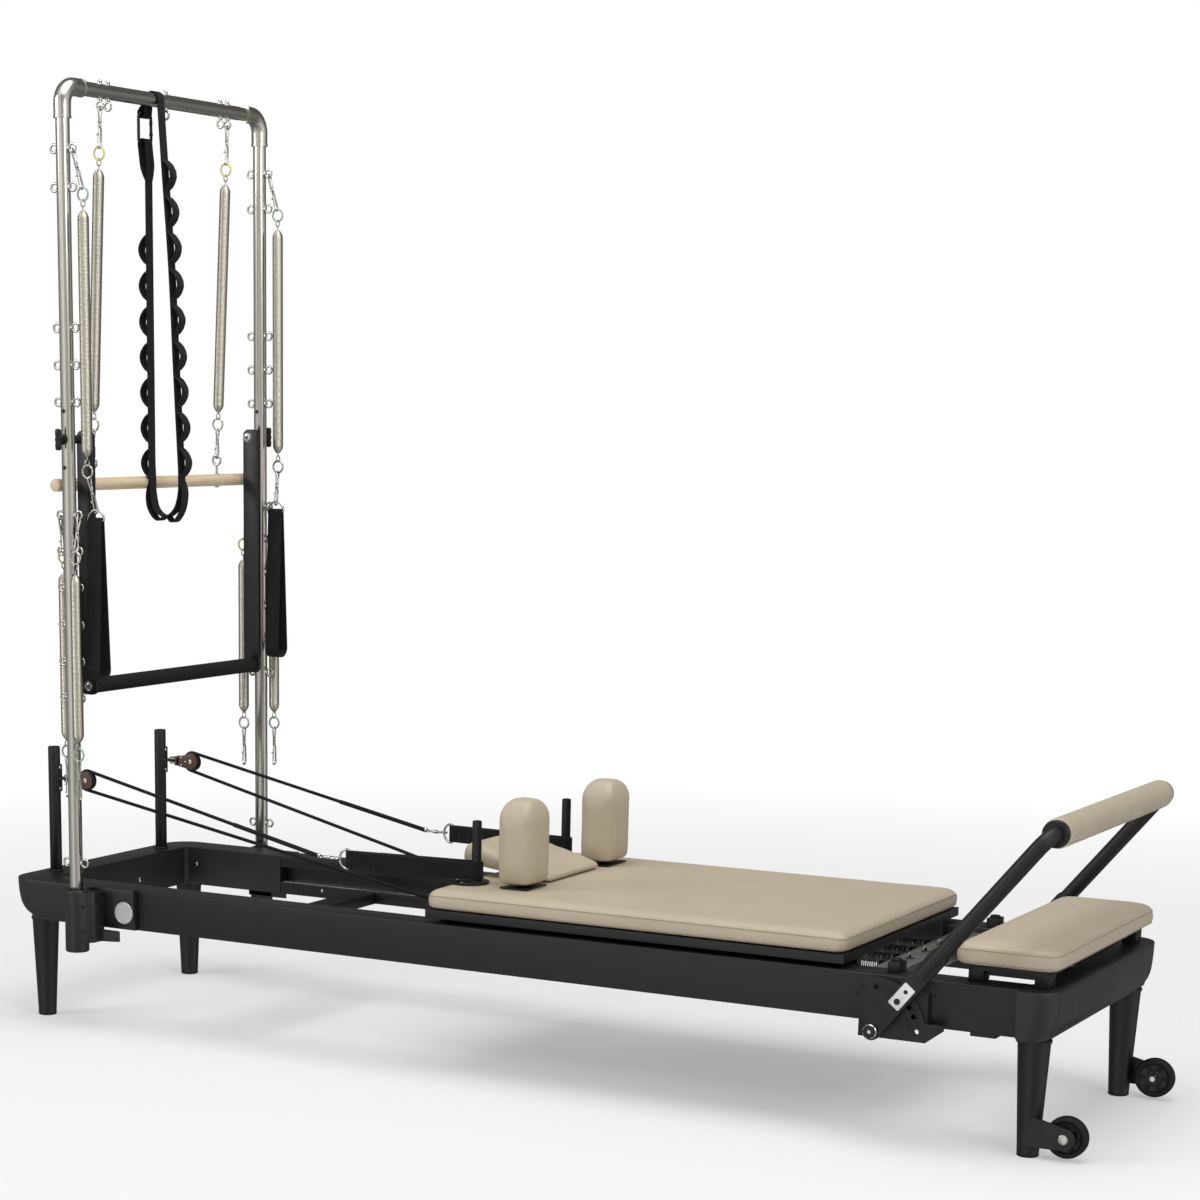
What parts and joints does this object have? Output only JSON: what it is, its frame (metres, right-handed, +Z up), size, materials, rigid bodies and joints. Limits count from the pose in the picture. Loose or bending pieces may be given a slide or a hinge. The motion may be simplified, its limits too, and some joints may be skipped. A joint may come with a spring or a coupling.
{
  "type": "pilates reformer bed with half tower",
  "caption": "Pilates reformer bed with a half tower: sliding padded carriage, footbar, foot platform, rope pulleys, tower frame, hanging springs, push-through bar, roll-down bar and loop strap.",
  "frame": {"origin": "centre of the footprint's bounding box, on the floor", "axes": "+X along the bed to the foot end, +Y to the far side of the pictured view, +Z up"},
  "size_m": [2.5264, 0.8382, 2.0667],
  "materials": {
    "black_powder_coat": "satin powder coat, near black",
    "black_fittings": "satin black",
    "stainless_tube": "bright brushed stainless tube",
    "spring_wire": "nickel-plated spring wire, warm grey",
    "aluminium": "satin aluminium",
    "beige_vinyl": "smooth matt upholstery vinyl, warm beige",
    "black_webbing": "woven black webbing and rope",
    "maple": "pale lacquered hardwood",
    "wheel_rubber": "black rubber",
    "brown_resin": "red-brown moulded resin"
  },
  "bodies": {
    "frame": {"head_end_cap": "black_powder_coat", "foot_end_cap": "black_powder_coat", "cross_member_head": "black_powder_coat", "spring_bar": "aluminium", "top_bar": "stainless_tube", "foot_platform_board": "black_powder_coat", "foot_platform_pad": "beige_vinyl", "loop_strap": "black_webbing", "loop_strap_carabiner": "black_fittings", "rail_near": "black_powder_coat", "leg_head_near": "black_fittings", "leg_foot_near": "black_fittings", "riser_near": "black_powder_coat", "tower_socket_near": "black_powder_coat", "upright_near": "stainless_tube", "footbar_quadrant_near": "black_powder_coat", "wheel_bracket_near": "black_powder_coat", "rope_near": "black_webbing", "rail_far": "black_powder_coat", "leg_head_far": "black_fittings", "leg_foot_far": "black_fittings", "riser_far": "black_powder_coat", "tower_socket_far": "black_powder_coat", "upright_far": "stainless_tube", "footbar_quadrant_far": "black_powder_coat", "wheel_bracket_far": "black_powder_coat", "rope_far": "black_webbing", "carriage_springs": "spring_wire"},
    "carriage": {"carriage_frame": "black_powder_coat", "carriage_pad": "beige_vinyl", "strap_peg_near": "black_fittings", "handle_strap_near": "black_webbing", "strap_peg_far": "black_fittings", "handle_strap_far": "black_webbing"},
    "headrest": {"headrest_pad": "beige_vinyl"},
    "footbar": {"footbar_frame": "black_powder_coat", "footbar_pad": "beige_vinyl"},
    "footbar_lock": {"footbar_lock": "aluminium"},
    "push_through": {"push_through_bar": "black_fittings"},
    "roll_down": {"roll_down_bar": "maple", "spring_roll_down_near": "spring_wire", "spring_roll_down_far": "spring_wire"},
    "shoulder_rest_near": {"shoulder_rest_near": "beige_vinyl"},
    "knob_near": {"knob_near": "black_fittings"},
    "wheel_near": {"wheel_near": "wheel_rubber"},
    "pulley_near": {"pulley_block_near": "brown_resin"},
    "sheave_near": {"sheave_near": "black_fittings"},
    "arm_spring_near": {"spring_arm_near": "spring_wire", "tower_handle_near": "black_webbing"},
    "leg_spring_front_near": {"spring_leg_front_near": "spring_wire"},
    "leg_spring_rear_near": {"spring_leg_rear_near": "spring_wire"},
    "shoulder_rest_far": {"shoulder_rest_far": "beige_vinyl"},
    "knob_far": {"knob_far": "black_fittings"},
    "wheel_far": {"wheel_far": "wheel_rubber"},
    "pulley_far": {"pulley_block_far": "brown_resin"},
    "sheave_far": {"sheave_far": "black_fittings"},
    "arm_spring_far": {"spring_arm_far": "spring_wire", "tower_handle_far": "black_webbing"},
    "leg_spring_front_far": {"spring_leg_front_far": "spring_wire"},
    "leg_spring_rear_far": {"spring_leg_rear_far": "spring_wire"}
  },
  "joints": [
    {"name": "carriage_slide", "type": "slide", "parent": "frame", "child": "carriage", "axis": [1, 0, 0], "range_m": [-0.72, 0], "stiffness_N_per_m": 300, "deforming": ["rope_near", "rope_far", "carriage_springs"]},
    {"name": "headrest_tilt", "type": "hinge", "parent": "carriage", "child": "headrest", "pos_m": [0.03175, 0, 0.3956], "axis": [0, 1, 0], "range_deg": [-6, 35]},
    {"name": "footbar_swing", "type": "hinge", "parent": "frame", "child": "footbar", "pos_m": [0.85975, 0, 0.223], "axis": [0, 1, 0], "range_deg": [-39.4, 48.8]},
    {"name": "footbar_lock_pull", "type": "slide", "parent": "footbar", "child": "footbar_lock", "axis": [0, -1, 0], "range_m": [0, 0.012], "stiffness_N_per_m": 400},
    {"name": "push_through_swing", "type": "hinge", "parent": "frame", "child": "push_through", "pos_m": [-1.03525, 0, 1.311], "axis": [0, -1, 0], "range_deg": [0, 160]},
    {"name": "roll_down_swing", "type": "hinge", "parent": "frame", "child": "roll_down", "pos_m": [-1.03525, 0, 2.0135], "axis": [0, 1, 0], "range_deg": [0, 60]},
    {"name": "shoulder_rest_near_lift", "type": "slide", "parent": "carriage", "child": "shoulder_rest_near", "axis": [0, 0, 1], "range_m": [0, 0.06]},
    {"name": "knob_near_pull", "type": "slide", "parent": "frame", "child": "knob_near", "axis": [0, -1, 0], "range_m": [0, 0.012], "stiffness_N_per_m": 400},
    {"name": "wheel_near_spin", "type": "hinge", "parent": "frame", "child": "wheel_near", "pos_m": [1.22275, -0.286, 0.0455], "axis": [0, 1, 0], "continuous": true},
    {"name": "pulley_near_swivel", "type": "hinge", "parent": "frame", "child": "pulley_near", "pos_m": [-1.18525, -0.21, 0.543], "axis": [0, 0, 1], "range_deg": [-60, 60], "deforming": ["rope_near"]},
    {"name": "sheave_near_spin", "type": "hinge", "parent": "pulley_near", "child": "sheave_near", "pos_m": [-1.12525, -0.21, 0.543], "axis": [0, 1, 0], "continuous": true},
    {"name": "arm_spring_near_swing", "type": "hinge", "parent": "frame", "child": "arm_spring_near", "pos_m": [-1.01045, -0.3766, 1.915], "axis": [0, -1, 0], "range_deg": [0, 80]},
    {"name": "leg_spring_front_near_swing", "type": "hinge", "parent": "frame", "child": "leg_spring_front_near", "pos_m": [-1.01045, -0.3766, 1.1495], "axis": [0, -1, 0], "range_deg": [0, 80]},
    {"name": "leg_spring_rear_near_swing", "type": "hinge", "parent": "frame", "child": "leg_spring_rear_near", "pos_m": [-1.06005, -0.3766, 1.1495], "axis": [0, 1, 0], "range_deg": [0, 80]},
    {"name": "shoulder_rest_far_lift", "type": "slide", "parent": "carriage", "child": "shoulder_rest_far", "axis": [0, 0, 1], "range_m": [0, 0.06]},
    {"name": "knob_far_pull", "type": "slide", "parent": "frame", "child": "knob_far", "axis": [0, 1, 0], "range_m": [0, 0.012], "stiffness_N_per_m": 400},
    {"name": "wheel_far_spin", "type": "hinge", "parent": "frame", "child": "wheel_far", "pos_m": [1.22275, 0.286, 0.0455], "axis": [0, 1, 0], "continuous": true},
    {"name": "pulley_far_swivel", "type": "hinge", "parent": "frame", "child": "pulley_far", "pos_m": [-1.18525, 0.21, 0.543], "axis": [0, 0, 1], "range_deg": [-60, 60], "deforming": ["rope_far"]},
    {"name": "sheave_far_spin", "type": "hinge", "parent": "pulley_far", "child": "sheave_far", "pos_m": [-1.12525, 0.21, 0.543], "axis": [0, 1, 0], "continuous": true},
    {"name": "arm_spring_far_swing", "type": "hinge", "parent": "frame", "child": "arm_spring_far", "pos_m": [-1.01045, 0.3766, 1.915], "axis": [0, -1, 0], "range_deg": [0, 80]},
    {"name": "leg_spring_front_far_swing", "type": "hinge", "parent": "frame", "child": "leg_spring_front_far", "pos_m": [-1.01045, 0.3766, 1.1495], "axis": [0, -1, 0], "range_deg": [0, 80]},
    {"name": "leg_spring_rear_far_swing", "type": "hinge", "parent": "frame", "child": "leg_spring_rear_far", "pos_m": [-1.06005, 0.3766, 1.1495], "axis": [0, 1, 0], "range_deg": [0, 80]}
  ]
}
